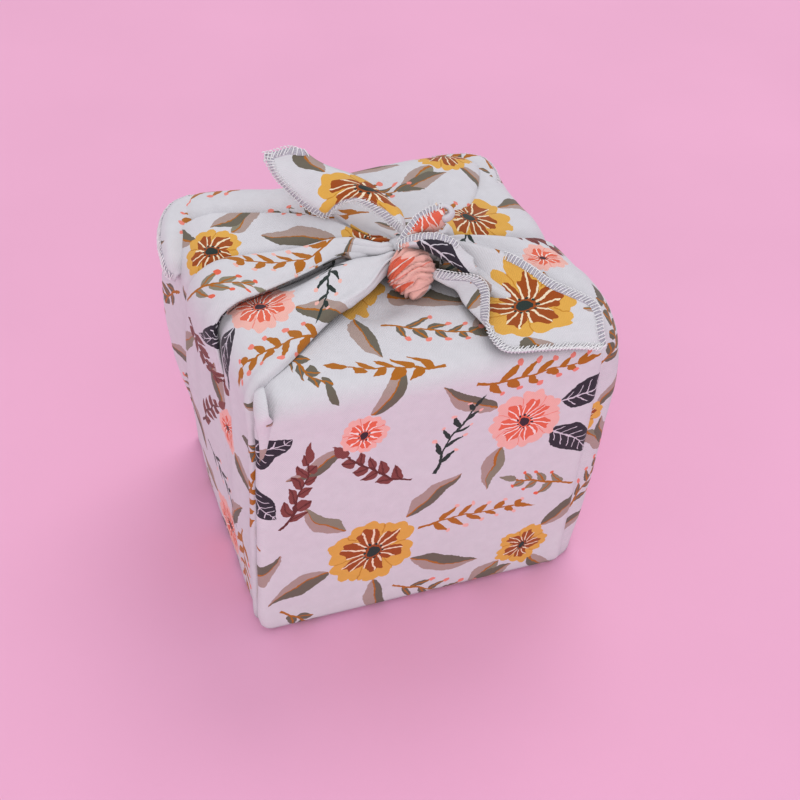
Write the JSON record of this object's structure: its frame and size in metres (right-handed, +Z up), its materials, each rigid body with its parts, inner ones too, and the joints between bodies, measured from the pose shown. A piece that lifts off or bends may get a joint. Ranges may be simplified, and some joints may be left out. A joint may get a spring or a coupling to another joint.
{
  "type": "furoshiki wrap",
  "caption": "Square printed cotton cloth folded round a box, its side corners gathered over the lid and tied in a knot with free tails.",
  "frame": {"origin": "middle of the wrapped box's flat base", "axes": "+Z up, +X to the right along the front face, +Y to the back"},
  "size_m": [0.2081, 0.1692, 0.205],
  "materials": {
    "cloth": "matte printed cotton twill"
  },
  "bodies": {
    "root": {"furoshiki_wrap": "cloth"}
  },
  "joints": []
}
